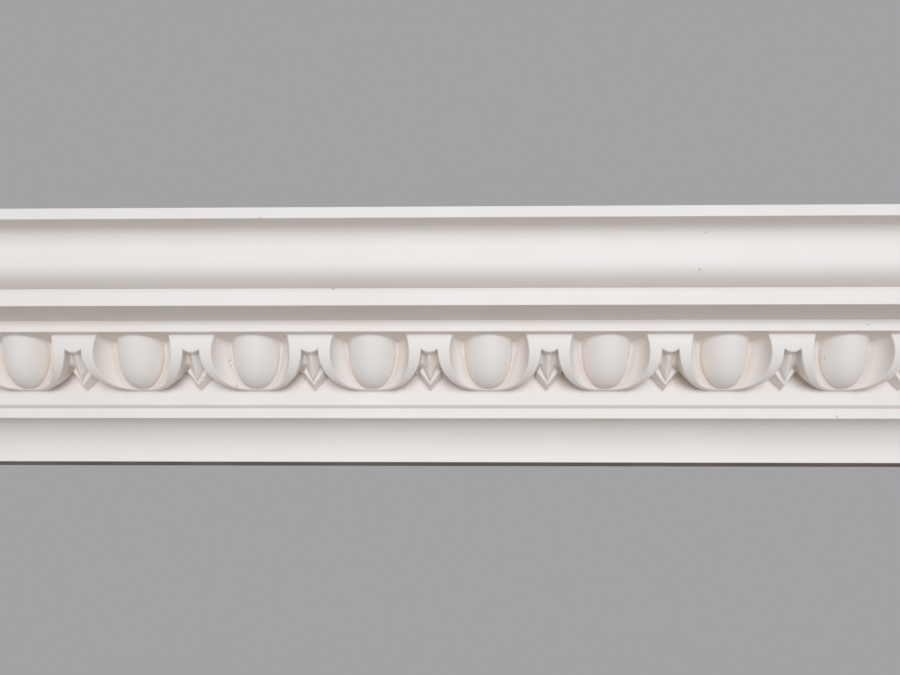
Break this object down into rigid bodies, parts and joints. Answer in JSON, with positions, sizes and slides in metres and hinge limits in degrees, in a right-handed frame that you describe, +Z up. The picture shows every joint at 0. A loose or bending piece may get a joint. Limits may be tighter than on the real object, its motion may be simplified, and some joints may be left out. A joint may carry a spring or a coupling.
{
  "type": "cornice moulding section",
  "caption": "Straight length of cast plaster cornice with a course of eggs and darts under a corona and cyma, cut square at both ends, with flat wall and ceiling beds.",
  "frame": {"origin": "centre of the flat bed at the back that is fixed to the wall, at mid-length", "axes": "+X along the run, -Y out into the room (the moulded face), +Z up to the ceiling bed"},
  "size_m": [0.54, 0.107, 0.0997],
  "materials": {
    "plaster": "matte"
  },
  "bodies": {
    "root": {"cornice": "plaster"}
  },
  "joints": []
}
